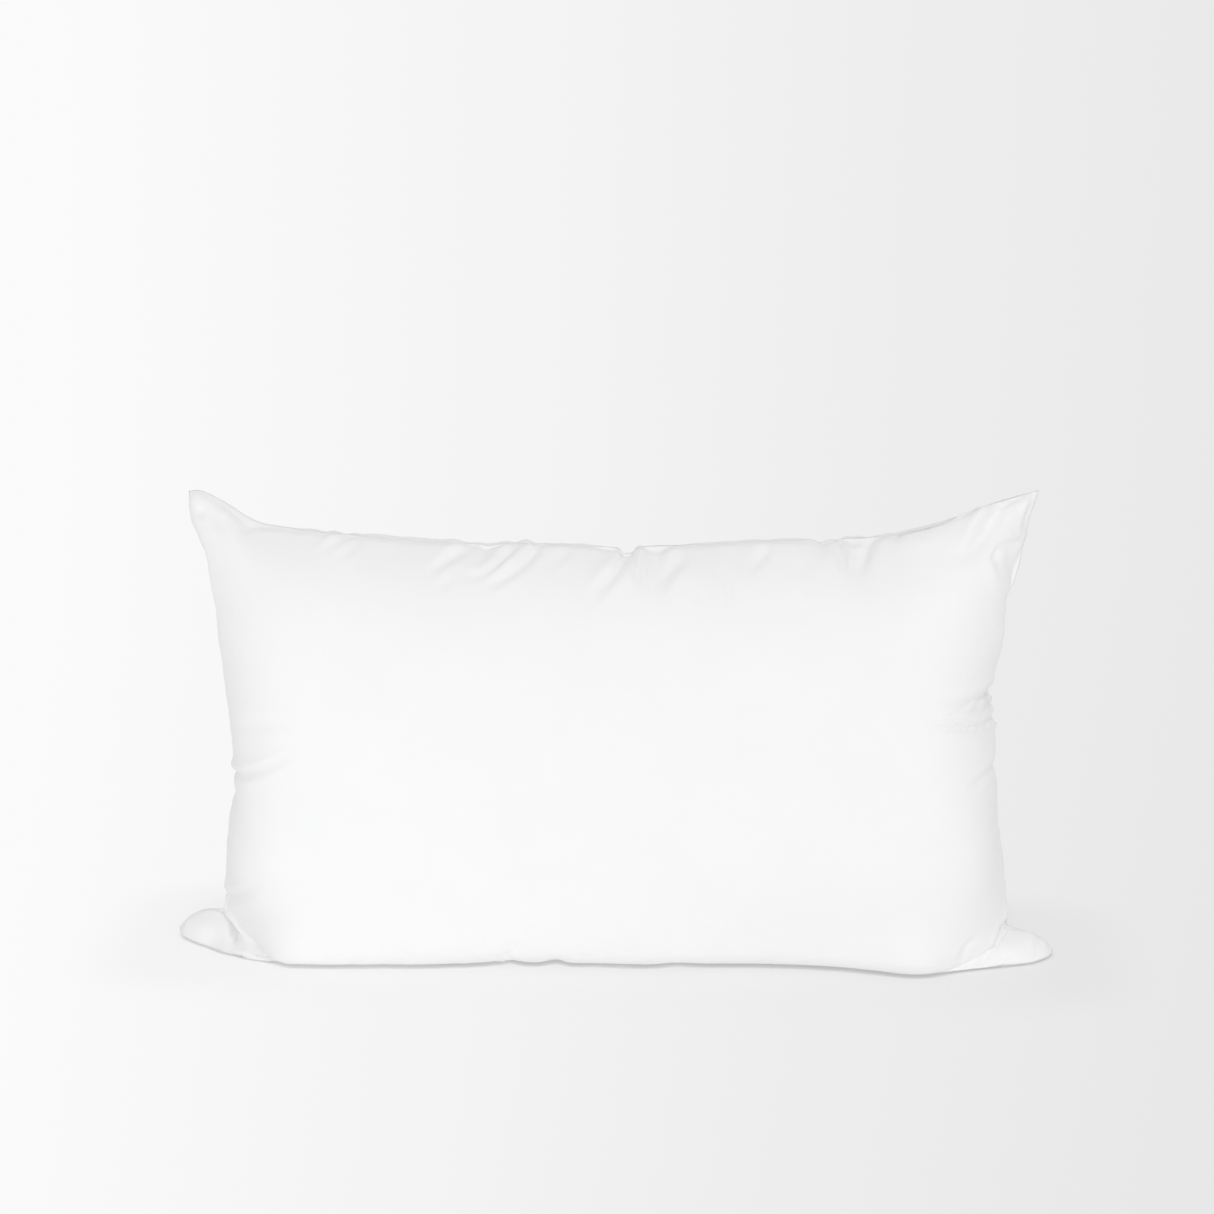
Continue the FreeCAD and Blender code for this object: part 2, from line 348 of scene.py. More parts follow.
# Creases of the front: (points (x, z), depth, half width, share of the depth at the start, and
# 1 or -1 for the side on which the cloth laps over).
CREASES = [
    # the top seam's left half
    ([(-194, 287), (-200, 285), (-207, 282)], 0.6, 2.0, 0.4, 0),
    ([(-174, 287), (-188, 283), (-199, 277)], 1.3, 2.2, 0.4, 1),
    ([(-170, 285), (-178, 280), (-187, 273)], 1.1, 2.2, 0.4, 1),
    ([(-98, 280), (-109, 276), (-119, 271), (-127, 264)], 1.7, 2.6, 0.5, 1),
    ([(-107, 266), (-119, 258)], 0.7, 2.4, 0.2, 0),
    # two long arcs in the middle
    ([(-51, 281), (-59, 275), (-68, 269), (-76, 265), (-92, 260)], 2.2, 2.8, 0.5, 1),
    ([(-66, 281), (-73, 277), (-81, 271), (-90, 267), (-105, 267)], 1.6, 2.4, 0.5, 1),
    ([(-28, 280), (-37, 275), (-46, 270)], 1.0, 2.4, 0.3, 0),
    # from the top seam's middle notch
    ([(8, 277), (2, 270), (-7, 262), (-16, 252)], 2.4, 3.6, 0.8, 1),
    ([(12, 277), (18, 268), (23, 258)], 2.4, 3.0, 0.8, -1),
    ([(46, 277), (37, 270), (30, 259)], 1.8, 3.6, 0.5, 0),
    # the top seam's right half
    ([(58, 262), (62, 252), (67, 242)], 0.9, 3.0, 0.3, 1),
    ([(75, 274), (76, 256), (75, 240)], 0.8, 3.0, 0.3, 0),
    ([(103, 282), (96, 277), (88, 271)], 1.3, 2.6, 0.5, 0),
    ([(150, 286), (154, 276), (157, 268)], 2.0, 2.8, 0.8, -1),
    ([(172, 290), (165, 280), (159, 269)], 1.6, 3.2, 0.6, 1),
    ([(126, 252), (137, 239)], 0.7, 3.0, 0.3, 0),
    ([(186, 292), (196, 290)], 0.7, 2.0, 0.4, 0),
    # the upper right corner
    ([(266, 317), (259, 314), (251, 304), (245, 297), (236, 287), (222, 282)], 3.6, 4.6, 0.5, 1),
    ([(262, 317), (271, 315), (280, 313)], 0.9, 1.6, 1.0, 0),
    ([(279, 315), (275, 303), (272, 291), (268, 284)], 1.8, 2.4, 0.8, 0),
    ([(270, 288), (257, 288), (253, 283), (257, 275), (259, 260)], 1.2, 2.6, 0.8, 1),
    # the right side, from its notch down
    ([(256, 190), (248, 193), (238, 190)], 1.2, 2.0, 0.9, 0),
    ([(258, 186), (243, 188), (229, 189), (211, 187)], 2.6, 3.0, 1.0, -1),
    ([(258, 178), (243, 181), (228, 181)], 1.3, 2.4, 0.9, 0),
    ([(258, 168), (241, 173), (222, 178), (200, 177)], 1.7, 2.8, 0.9, -1),
    ([(256, 138), (246, 135), (236, 130)], 1.2, 2.8, 0.8, 0),
    # the left side, up from its notch
    ([(-262, 123), (-252, 129), (-241, 136), (-230, 142), (-217, 150), (-202, 158)],
     2.0, 2.6, 1.0, -1),
    ([(-258, 160), (-230, 171), (-200, 176)], 0.8, 4.0, 0.4, 0),
    ([(-265, 32), (-250, 46), (-234, 61)], 1.6, 3.2, 0.8, -1),
    # the upper left corner
    ([(-274, 315), (-273, 303)], 0.9, 2.0, 0.8, 0),
    ([(-285, 299), (-279, 300), (-271, 295), (-262, 287)], 1.2, 2.8, 0.6, 0),
    ([(-240, 297), (-249, 293), (-254, 286)], 1.4, 2.6, 0.8, 0),
    # the lower left corner and its ear
    ([(-264, 14), (-261, 10), (-257, 4)], 3.2, 1.8, 0.8, 0),
    ([(-272, 19), (-268, 15), (-263, 10)], 2.2, 2.4, 1.0, 0),
    # the lower right corner and its ear
    ([(267, 22), (263, 15), (262, 8)], 2.2, 2.4, 1.0, 0),
    ([(264, 22), (272, 18), (282, 13)], 1.2, 2.0, 0.9, 0),
    ([(266, 16), (277, 11)], 0.9, 1.8, 0.9, 0),
    ([(238, 10), (240, 18), (246, 23), (254, 22)], 1.1, 2.4, 0.5, 0),
    ([(255, 9), (249, 1)], 1.2, 1.8, 0.6, 0),
    ([(290, 12), (288, 1)], 1.0, 1.8, 1.0, -1),
]

# Hollows (and swellings, with a negative depth):
# (x, z, half width, half height, turn in degrees, depth).
HOLLOWS = {
    FRONT: [
        (-247, 298, 11, 8, -25, 4.5), (-86, 280, 9, 8, 20, 2.2), (-2, 281, 9, 8, -15, 2.2),
        (28, 276, 7, 15, 8, 5.0), (3, 266, 5, 9, -30, -1.0), (72, 260, 2.5, 18, 0, -0.8),
        (126, 274, 6, 4, 0, 0.9), (163, 287, 8, 15, 5, 4.5), (142, 280, 5, 9, -35, -1.0),
        (212, 293, 24, 6, 15, -2.2), (266, 272, 8, 14, 8, 4.5), (266, 301, 3.5, 15, -30, -1.2),
        (247, 256, 8, 4, 0, 0.7), (238, 158, 14, 16, 0, 1.0), (-240, 160, 9, 14, -30, 1.0),
        (-200, 40, 45, 8, 32, -1.2), (-268, 8, 3, 9, 0, -1.2), (-260, 10, 6, 6, 0, 1.2),
        (-252, 4, 13, 5, -40, -3.0), (-38, 3, 7, 6, 0, 3.0), (-232, 2, 6, 4, 0, 1.5),
        (45, 2, 12, 4, 0, 1.2), (-284, 8, 6, 6, 0, -1.0), (275, 8, 7, 6, 0, -0.8),
        (252, 15, 6, 5, 0, -1.0),
    ],
    BACK: [(206, 293, 24, 7, 12, -0.8), (270, 306, 9, 6, 10, -1.5)],
}

CREASE_DEPTH = {FRONT: 1.25, BACK: 0.8}  # times the depths above
BACK_CREASES_FROM = 100.0  # the height above which the back shares the front's creases
RIDGE, RIDGE_AT = 0.3, 2  # the cloth rises beside a crease, at so many half widths
LAP, LAP_AT = 0.6, 1.4  # and more on the side where it laps over
CREASE_FADE = 0.6  # the last share of a crease's length, over which it runs out

# Gathers at the seams, small and wide: height, how far in they fade, and size along and in.
PUCKER, PUCKER_FADE, PUCKER_SIZE = 0.8, 10, (6, 30)
GATHER, GATHER_FADE, GATHER_SIZE = 2.0, 30, (19, 60)
PUFF, PUFF_FADE = 4.0, 20  # of the cloth that swells beside the top and side seams
ROLL, ROLL_SIZE = 0.9, (70, 55)  # of the broad unevenness of the filling
SMALL_ROLL, SMALL_ROLL_SIZE = 0.3, (31, 27)  # as a share of the broad one
SEAM_WAVE, WAVE_FADE, WAVE_SIZE = 0.5, 8, (9, 1)  # of the seam line itself
EDGE_FADE = 7  # how far from the edge all but the wave have their full height
PRESSED_BELOW, PRESSED_SHARE = 15, 0.15  # near the ground the filling's weight flattens them

PUCKER_SEED, ROLL_SEED, SMALL_ROLL_SEED, WAVE_SEED, FILLING_SEED = 40, 60, 70, 90, 130


def fine_places(cells):
    """Half-cell steps along a panel, and closer ones beside both seams."""
    beside = np.array([0.12, 0.27])
    return np.sort(np.concatenate([np.arange(2 * cells + 1) / 2, beside, cells - beside]))


def resampled(grid, places, axis):
    """Cubic interpolation of a grid of points at fractional places along one axis."""
    grid = np.moveaxis(grid, axis, 0)
    padded = np.concatenate([2 * grid[:1] - grid[1:2], grid, 2 * grid[-1:] - grid[-2:-1]])
    whole = np.clip(places.astype(int), 0, len(grid) - 2)
    t = (places - whole).reshape(-1, 1, 1)
    a, b, c, d = (padded[whole + k] for k in range(4))
    result = b + 0.5 * t * (c - a + t * (2 * a - 5 * b + 4 * c - d + t * (3 * (b - c) + d - a)))
    return np.moveaxis(result, 0, axis)


def normals_of(p, side):
    """Unit normals that point out of the pillow."""
    normal = np.cross(np.gradient(p, axis=1), np.gradient(p, axis=0)) * -side
    return normal / np.maximum(np.linalg.norm(normal, axis=-1, keepdims=True), 1e-12)


def noise(u, v, spacing, seed):
    """Smooth irregular heights from -1 to 1. spacing is the size of a bump along u and v."""
    knots = np.random.default_rng(seed).uniform(-1, 1, (256, 256))
    a, b = u / spacing[0] + 32, v / spacing[1] + 32
    row, column = np.floor(a).astype(int), np.floor(b).astype(int)
    s, t = smooth_step(a - row), smooth_step(b - column)
    near = knots[row, column] * (1 - t) + knots[row, column + 1] * t
    far = knots[row + 1, column] * (1 - t) + knots[row + 1, column + 1] * t
    return near * (1 - s) + far * s


def nearest_on(line, x, z):
    """Distance to a line of points, signed by its side, and how far along it as a share."""
    lengths = np.linalg.norm(np.diff(line, axis=0), axis=1)
    runs = np.concatenate([[0], np.cumsum(lengths)])
    distance, share = np.full(x.shape, 1e9), np.zeros(x.shape)
    for (ax, az), (bx, bz), run, length in zip(line[:-1], line[1:], runs, lengths):
        dx, dz = (bx - ax) / length, (bz - az) / length
        along = np.clip((x - ax) * dx + (z - az) * dz, 0, length)
        gap = np.hypot(x - ax - along * dx, z - az - along * dz)
        closer = gap < np.abs(distance)
        turn = np.where((x - ax) * dz > (z - az) * dx, 1, -1)
        distance = np.where(closer, gap * turn, distance)
        share = np.where(closer, (run + along) / runs[-1], share)
    return distance, share


def crease_depths(x, z, side):
    """How far the creases and hollows push a panel in at each point (x, z)."""
    total = np.zeros_like(x)
    for line, depth, half_width, start, lap in CREASES:
        if side == BACK and min(height for _, height in line) < BACK_CREASES_FROM:
            continue
        curve = smooth_curve([(a, 0, b) for a, b in line], 5)[:, [0, 2]]
        distance, share = nearest_on(curve, x, z)
        q = distance / half_width
        valley = np.exp(-q * q)
        for ridge_at in (RIDGE_AT, -RIDGE_AT):
            valley -= RIDGE * np.exp(-((q - ridge_at) ** 2))
        if lap:
            valley -= LAP * np.exp(-2 * (q - LAP_AT * lap) ** 2)
        fade = np.clip(start + 4 * share, 0, 1) * smooth_step((1 - share) / CREASE_FADE)
        total += CREASE_DEPTH[side] * depth * valley * fade
    for cx, cz, half_width, half_height, turn, depth in HOLLOWS[side]:
        cos, sin = math.cos(math.radians(turn)), math.sin(math.radians(turn))
        a, b = (x - cx) * cos + (z - cz) * sin, (z - cz) * cos - (x - cx) * sin
        total += depth * np.exp(-((a / half_width) ** 2) - (b / half_height) ** 2)
    return total


def pucker_heights(u, v, seed):
    """Small gathers that run in from the seams, at places (u, v) of the flat panel."""
    length, width = CASE_LENGTH / MM, CASE_WIDTH / MM
    total = 0
    for number, (along, inward) in enumerate(((u, v), (u, width - v), (v, u), (v, length - u))):
        close = np.exp(-inward / PUCKER_FADE) * (1 - np.exp(-inward / 2))
        wide = np.exp(-inward / GATHER_FADE) * (1 - np.exp(-inward / 10))
        small = noise(along + 0.2 * inward, inward, PUCKER_SIZE, seed + number)
        broad = noise(along - 0.3 * inward, inward, GATHER_SIZE, seed + 10 + number)
        total = total + PUCKER * close * small
        total = total + GATHER * wide * broad
    return total


def flat_places():
    """Where the finer grid's points lie on the flat panel (u, v), and how far from its edges."""
    length, width = CASE_LENGTH / MM, CASE_WIDTH / MM
    u, v = np.meshgrid(fine_places(COLUMNS) * length / COLUMNS, fine_places(ROWS) * width / ROWS)
    return u, v, np.minimum(u, length - u), width - v


def smooth_panel(grid):
    """A simulated panel on a finer grid, with a seam line that is a little uneven."""
    p = resampled(resampled(grid, fine_places(COLUMNS), 1), fine_places(ROWS), 0)
    u, v, from_side, from_top = flat_places()
    edge = np.minimum(np.minimum(v, from_top), from_side)
    wave = SEAM_WAVE * MM * np.exp(-edge / WAVE_FADE)
    p[:, :, 2] += wave * noise(u, 0 * u, WAVE_SIZE, WAVE_SEED) * np.exp(-from_top / WAVE_FADE)
    sideways = wave * noise(v, 0 * v, WAVE_SIZE, WAVE_SEED + 1) * np.exp(-from_side / WAVE_FADE)
    p[:, :, 0] += sideways * smooth_step(v / 40)
    return p


def detailed_panel(p, side, seam):
    """A panel with its creases, gathers and unevenness."""
    u, v, from_side, from_top = flat_places()
    edge = np.minimum(np.minimum(v, from_top), from_side)
    height = pucker_heights(u, v, PUCKER_SEED + side) * smooth_step(edge / EDGE_FADE)
    large = noise(u, v, ROLL_SIZE, ROLL_SEED + side)
    small = noise(u, v, SMALL_ROLL_SIZE, SMALL_ROLL_SEED + side)
    height += ROLL * large + SMALL_ROLL * ROLL * small
    from_seam = np.minimum(from_top, from_side)
    height += PUFF * (1 - np.exp(-from_seam / 4)) * np.exp(-from_seam / PUFF_FADE)
    free = smooth_step(p[:, :, 2] / (PRESSED_BELOW * MM))
    height *= smooth_step(edge / EDGE_FADE) * (PRESSED_SHARE + (1 - PRESSED_SHARE) * free)
    creased = smooth_step(edge / 3) * smooth_step(p[:, :, 2] / (2 * MM))
    height -= crease_depths(p[:, :, 0] / MM, p[:, :, 2] / MM, side) * creased
    p = p + normals_of(p, side) * (height * MM)[:, :, None]
    seam.make_room(p, side)
    p[:, :, 2] = np.maximum(p[:, :, 2], CLOTH * 0.25)
    return p


DEPTHS = np.array([0, 0.6, 1.35, 2.5, 5, 7.5, 10, 12.5]) * MM  # of the finer grid's first points
HALF_GAP = 0.05 * MM  # between the seam's middle and each allowance
ROOM = 1.3 * MM  # for an allowance and its thread, from the middle to the outside of a panel
ROOM_FADE = 2.5 * MM  # how far in from the seam there is all that room
INSIDE = (0, 0, 0.14)  # a point well inside the pillow


class Seam:
    """The seam that both panels share: its points, and there the ways in and to the front."""

    def __init__(self, front, back):
        rows, columns = front.shape[:2]
        self.ring = border_of(np.arange(rows * columns).reshape(rows, columns))
        row, column = np.divmod(self.ring, columns)
        self.inner = [
            (np.clip(row, k, rows - 1 - k), np.clip(column, k, columns - 1 - k))
            for k in range(len(DEPTHS))
        ]
        self.points = front.reshape(-1, 3)[self.ring]
        middles = [(front[place] + back[place]) / 2 - self.points for place in self.inner]
        inward = middles[-1] + 3 * MM * unit(np.array(INSIDE) - self.points)
        tangent = unit(np.roll(self.points, -2, 0) - np.roll(self.points, 2, 0))
        self.inward = unit(inward - (inward * tangent).sum(1, keepdims=True) * tangent)
        forward = np.cross(tangent, self.inward)
        apart = front[self.inner[-1]] - back[self.inner[-1]]
        self.forward = forward * np.sign((forward * apart).sum(1, keepdims=True))
        self.bow = np.stack([(middle * self.forward).sum(1) for middle in middles], 1)
        steps = np.linalg.norm(np.roll(self.points, -1, 0) - self.points, axis=1)
        self.run = np.concatenate([[0], np.cumsum(steps)])
        corners = np.cumsum([0, columns - 1, rows - 1, columns - 1, rows - 1])
        self.corners = self.run[corners]
        from_corner = np.abs(self.run[:-1, None] - self.corners[None]).min(1)
        self.allowance = ALLOWANCE * np.clip(from_corner / (3 * ALLOWANCE) + 0.1, 0, 1)

    def at(self, run, inset, forward):
        """Points beside the seam, so far along it, in from it and to the front of it.

        Inside the case they keep midway between the two panels.
        """
        def along(values):
            closed = np.vstack([values, values[:1]]).T
            return np.stack([np.interp(run, self.run, column) for column in closed], 1)

        inset, forward = (
            np.broadcast_to(np.reshape(n, (-1, 1)), (len(run), 1)) for n in (inset, forward)
        )
        bows = along(self.bow)
        share = np.clip((inset - DEPTHS[:-1]) / np.diff(DEPTHS), 0, 1)
        bow = bows[:, :1] + (share * np.diff(bows, axis=1)).sum(1, keepdims=True)
        inward, forward = along(self.inward) * inset, along(self.forward) * (forward + bow)
        return along(self.points) + inward + forward

    def make_room(self, p, side):
        """Moves a panel out where it would cut into the allowances that lie behind it."""
        for depth, place in list(zip(DEPTHS, self.inner))[1:]:
            room = CLOTH + HALF_GAP + (ROOM - CLOTH - HALF_GAP) * smooth_step(depth / ROOM_FADE)
            out = self.forward * (1 if side == FRONT else -1)
            clear = ((p[place] - self.at(self.run[:-1], depth, 0)) * out).sum(1, keepdims=True)
            p[place] += out * np.maximum(room - clear, 0)


def unit(vectors):
    return vectors / np.maximum(np.linalg.norm(vectors, axis=-1, keepdims=True), 1e-12)


def finish_mesh(piece, material):
    """Smooth shading, material, slot and body of a piece."""
    mesh = piece.data
    mesh.polygons.foreach_set("use_smooth", [True] * len(mesh.polygons))
    mesh.materials.append(material)
    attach(piece, "root")
    return piece


def thicken(piece, thickness, offset):
    shell = piece.modifiers.new("thickness", "SOLIDIFY")
    shell.thickness, shell.offset = thickness, offset


GROOVE = 1.2 * MM  # depth of the groove between the two folded edges
FOLD = 0.3 * MM  # from the middle to the fold, part of the way in


def cloth_piece(name, p, side, seam, material):
    """One panel with its allowance turned in along the seam, in cloth of its real thickness."""
    rows, columns = p.shape[:2]
    index = np.arange(rows * columns).reshape(rows, columns)
    turn = 1 if side == FRONT else -1
    points = p.reshape(-1, 3).copy()
    points[seam.ring] = seam.at(seam.run[:-1], 0, turn * (CLOTH + HALF_GAP))
    flat = np.stack(flat_places()[:2], -1).reshape(-1, 2) * MM
    middle = np.array([CASE_LENGTH / 2, CASE_WIDTH / 2])
    outward = np.sign(np.round((flat[seam.ring] - middle) / middle, 3).astype(int))

    loops, layers, flats = [seam.ring], [points], [flat]
    # Over the rounded fold into the groove, then along the allowance to its raw edge.
    for share, forward in ((-1, FOLD), (0, HALF_GAP), (0.4, HALF_GAP), (1, HALF_GAP)):
        inset = GROOVE + share * np.where(share < 0, 0.6 * GROOVE, seam.allowance)[:, None]
        layers.append(seam.at(seam.run[:-1], inset, turn * forward))
        flats.append(flat[seam.ring] + outward * inset)
        loops.append(rows * columns + (len(loops) - 1) * len(seam.ring) + np.arange(len(seam.ring)))
    faces = [grid_faces(index)]
    for outer, inner in zip(loops[:-1], loops[1:]):
        faces.append(np.stack([inner, np.roll(inner, -1), np.roll(outer, -1), outer], -1))
    faces = np.vstack(faces)
    if side == BACK:
        faces = faces[:, ::-1]
    piece = new_mesh(name, np.vstack(layers), faces)
    cloth_map = piece.data.uv_layers.new(name="cloth")
    cloth_map.data.foreach_set("uv", np.vstack(flats)[faces].astype(np.float32).ravel())
    thicken(piece, CLOTH, -1)
    return finish_mesh(piece, material)


FILLING_INSET = 12 * MM  # from the seam, clear of the allowances
FILLING_GAP = 0.6 * MM  # to the cloth
FILLING_LUMPS = 1.5 * MM


def filling_piece(name, grids, material):
    """The loose filling: one closed lump a little inside the case."""
    edge_u, edge_v = FILLING_INSET * COLUMNS / CASE_LENGTH, FILLING_INSET * ROWS / CASE_WIDTH
    columns = np.linspace(edge_u, COLUMNS - edge_u, COLUMNS + 1)
    rows = np.linspace(edge_v, ROWS - edge_v, ROWS + 1)
    u, v = np.meshgrid(columns * CELL, rows * CELL)
    halves = []
    for side, grid in ((FRONT, grids[0]), (BACK, grids[1])):
        p = resampled(resampled(grid, columns, 1), rows, 0)
        lumps = noise(u, v, (24, 20), FILLING_SEED + side)
        sunk = CLOTH + FILLING_GAP + FILLING_LUMPS * (1 + lumps) / 2
        sunk += np.maximum(crease_depths(p[:, :, 0] / MM, p[:, :, 2] / MM, side), 0) * MM
        halves.append(p - normals_of(p, side) * sunk[:, :, None])
        halves[-1][:, :, 2] = np.maximum(halves[-1][:, :, 2], CLOTH + FILLING_GAP)
    points, faces, index, _ = joined(*halves)
    ring = border_of(index)
    points[ring] = (points[ring] + halves[1].reshape(-1, 3)[ring]) / 2
    return finish_mesh(new_mesh(name, points, faces), material)


THREAD_RADIUS = 0.12 * MM
STITCH, STITCH_INSET, STITCH_END = 2.5 * MM, 1.6 * MM, 12 * MM
OPENING = 150 * MM  # of the lower seam, closed by hand after filling
SLIP_PITCH, SLIP_DEPTH, SLIP_REACH = 5 * MM, 0.1 * MM, 0.55 * MM
OVERLOCK_PITCH, OVERLOCK_WIDTH, OVERLOCK_LIFT = 3 * MM, 3.4 * MM, 0.75 * MM
OVERLOCK_PAST = 0.6 * MM  # how far it wraps past the raw edges


def tube(points, radius, sides=6):
    """Vertices and faces of a closed tube along a line of points."""
    tangent = unit(np.gradient(points, axis=0))
    across = unit(np.cross(tangent, unit(tangent[::-1].mean(0) + [0.3, 0.5, 0.8])))
    up = np.cross(tangent, across)
    turn = np.arange(sides) * 2 * math.pi / sides
    rings = points[:, None] + radius * (
        across[:, None] * np.cos(turn)[None, :, None] + up[:, None] * np.sin(turn)[None, :, None]
    )
    number = np.arange(len(points) * sides).reshape(len(points), sides)
    a, b = number[:-1], number[1:]
    faces = np.stack([a, np.roll(a, -1, 1), np.roll(b, -1, 1), b], -1).reshape(-1, 4).tolist()
    return rings.reshape(-1, 3), faces + [number[0][::-1].tolist(), number[-1].tolist()]


def thread_piece(name, lines, material):
    """A sewing thread in one or more lengths."""
    points, faces = [], []
    for line in lines:
        ring_points, ring_faces = tube(line, THREAD_RADIUS)
        start = sum(len(p) for p in points)
        points.append(ring_points)
        faces += [[corner + start for corner in face] for face in ring_faces]
    piece = new_mesh(name, np.vstack(points), faces)
    return finish_mesh(piece, material)


def lockstitch(seam, side):
    """One thread of the lockstitch: it lies on its allowance and dips in at each needle hole."""
    first, second = seam.corners[:2]
    middle = (first + second) / 2
    before = (first + STITCH_END, middle - OPENING / 2)
    after = (middle + OPENING / 2, seam.corners[4] - STITCH_END)
    lines = []
    for start, end in (before, after):
        count = int((end - start) / STITCH)
        phase = np.linspace(0, count, 5 * count + 1)
        lift = CLOTH + HALF_GAP + THREAD_RADIUS * (0.4 + 0.9 * np.abs(np.sin(math.pi * phase)))
        run = np.linspace(start, end, len(phase))
        lines.append(seam.at(run, STITCH_INSET, lift * (1 if side == FRONT else -1)))
    return lines


def overlock(seam):
    """Thread wound round the raw edges of both allowances, along each side of the case."""
    lines = []
    for corner, next_corner in zip(seam.corners[:-1], seam.corners[1:]):
        start, end = corner + 3 * ALLOWANCE, next_corner - 3 * ALLOWANCE
        turns = int((end - start) / OVERLOCK_PITCH)
        angle = np.linspace(0, 2 * math.pi * turns, 10 * turns + 1)
        run = np.linspace(start, end, len(angle))
        middle = ALLOWANCE - OVERLOCK_WIDTH / 2 + OVERLOCK_PAST
        inset = middle + OVERLOCK_WIDTH / 2 * np.cos(angle)
        lines.append(seam.at(run, inset, OVERLOCK_LIFT * np.sin(angle)))
    return lines


def slip_stitch(seam):
    """The ladder of hand stitches across the opening's two folded edges."""
    middle = (seam.corners[0] + seam.corners[1]) / 2
    rungs = int(OPENING / SLIP_PITCH) + 1
    run = middle + np.repeat(np.linspace(-OPENING / 2, OPENING / 2, rungs), 2)
    swap = np.tile([1, -1, -1, 1], rungs)[: 2 * rungs] * SLIP_REACH
    return [evenly(seam.at(run, -SLIP_DEPTH, swap), 12 * rungs)]


LABEL_LENGTH, LABEL_WIDTH, LABEL_THICKNESS = 40 * MM, 28 * MM, 0.2 * MM
LABEL_HEIGHT = 92 * MM
LABEL_CAUGHT = 6 * MM  # how much of it is sewn into the seam
LABEL_LIFT, LABEL_CURL = 0.6 * MM, 2.2 * MM  # off the back, and more at its free end
# Its turn out of the seam and round the edge of the back: (inset, forward).
LABEL_TURN = [(LABEL_CAUGHT, 0), (LABEL_CAUGHT / 2, 0), (0.4 * MM, 0), (-0.5 * MM, -0.3 * MM),
              (-0.3 * MM, -1.1 * MM)]


def label_piece(name, back, seam, material):
    """A blank label caught in the side seam, lying on the back."""
    columns = fine_places(COLUMNS) * CASE_LENGTH / COLUMNS
    rows = fine_places(ROWS) * CASE_WIDTH / ROWS
    low = np.interp(LABEL_HEIGHT - LABEL_WIDTH / 2, back[:, 0, 2], rows)
    across = low + np.linspace(0, LABEL_WIDTH, 15)
    normal = normals_of(back, BACK)

    def on_back(values, u):
        line = [[np.interp(u, columns, row[:, k]) for k in range(3)] for row in values]
        return np.stack([np.interp(across, rows, np.array(line)[:, k]) for k in range(3)], 1)

    side_run = seam.corners[3] + (seam.corners[4] - seam.corners[3]) * (1 - across / CASE_WIDTH)
    strips = [seam.at(side_run, *place) for place in LABEL_TURN]
    for s in np.linspace(1.2 * MM, LABEL_LENGTH - LABEL_CAUGHT - 1.6 * MM, 16):
        free = s / LABEL_LENGTH
        curl = LABEL_CURL * free**3 * (0.6 + 0.4 * np.linspace(0, 1, len(across))[:, None])
        strips.append(on_back(back, s) + unit(on_back(normal, s)) * (LABEL_LIFT + curl))
    grid = np.stack(strips, 1)
    index = np.arange(grid[:, :, 0].size).reshape(grid.shape[:2])
    piece = new_mesh(name, grid.reshape(-1, 3), grid_faces(index))
    thicken(piece, LABEL_THICKNESS, 0)
    return finish_mesh(piece, material)


# ---- materials

def new_material(name, color, roughness, sheen):
    material = bpy.data.materials.new(name)
    material.use_nodes = True
    shader = material.node_tree.nodes["Principled BSDF"]
    shader.inputs["Base Color"].default_value = (*color, 1)
    shader.inputs["Roughness"].default_value = roughness
    shader.inputs["Sheen Weight"].default_value = sheen
    shader.inputs["Sheen Roughness"].default_value = 0.5
    shader.inputs["Specular IOR Level"].default_value = 0.12
    return material, shader


def add_node(material, kind, **values):
    """A node with its properties and, for names that are sockets, its socket values."""
    node = material.node_tree.nodes.new(kind)
    for name, value in values.items():
        if name in node.inputs:
            node.inputs[name].default_value = value
        else:
            setattr(node, name, value)
    return node


VECTOR = "ShaderNodeVectorMath"


def calculate(owner, operation, *operands, kind="ShaderNodeMath"):
    """A math node's result. Each operand is a socket to link or a plain value."""
    node = add_node(owner, kind, operation=operation)
    for socket, operand in zip(node.inputs, operands):
        if isinstance(operand, bpy.types.NodeSocket):
            owner.node_tree.links.new(operand, socket)
        else:
            socket.default_value = operand
    return node.outputs["Value" if operation in ("LENGTH", "DOT_PRODUCT") else 0]


def spread(material, value, low, high, to_low=0.0, to_high=1.0, kind="LINEAR"):
    """A value from low to high, spread from to_low to to_high."""
    ends = {"From Min": low, "From Max": high, "To Min": to_low, "To Max": to_high}
    node = add_node(material, "ShaderNodeMapRange", interpolation_type=kind, **ends)
    material.node_tree.links.new(value, node.inputs["Value"])
    return node.outputs["Result"]


def vary_color(material, shader, coordinates, low, high, scale):
    """Faint blotches between two colours."""
    link = material.node_tree.links.new
    blotches = add_node(material, "ShaderNodeTexNoise", Scale=scale, Detail=3.0, Roughness=0.6)
    ramp = add_node(material, "ShaderNodeValToRGB")
    for stop, position, color in zip(ramp.color_ramp.elements, (0.35, 0.65), (low, high)):
        stop.position, stop.color = position, (*color, 1)
    link(coordinates, blotches.inputs["Vector"])
    link(blotches.outputs["Fac"], ramp.inputs["Fac"])
    link(ramp.outputs["Color"], shader.inputs["Base Color"])


def add_bump(material, shader, height, distance, strength):
    bump = add_node(material, "ShaderNodeBump", Distance=distance, Strength=strength)
    material.node_tree.links.new(height, bump.inputs["Height"])
    material.node_tree.links.new(bump.outputs["Normal"], shader.inputs["Normal"])


THREAD_PITCH = 0.32 * MM
WAVE_SCALE = 2 * math.pi / 20 / THREAD_PITCH  # the wave texture has one band in 2 pi / 20
COTTON_LOW, COTTON_HIGH = (0.932, 0.933, 0.934), (0.942, 0.942, 0.942)
COTTON_ROUGH = (0.74, 0.9)


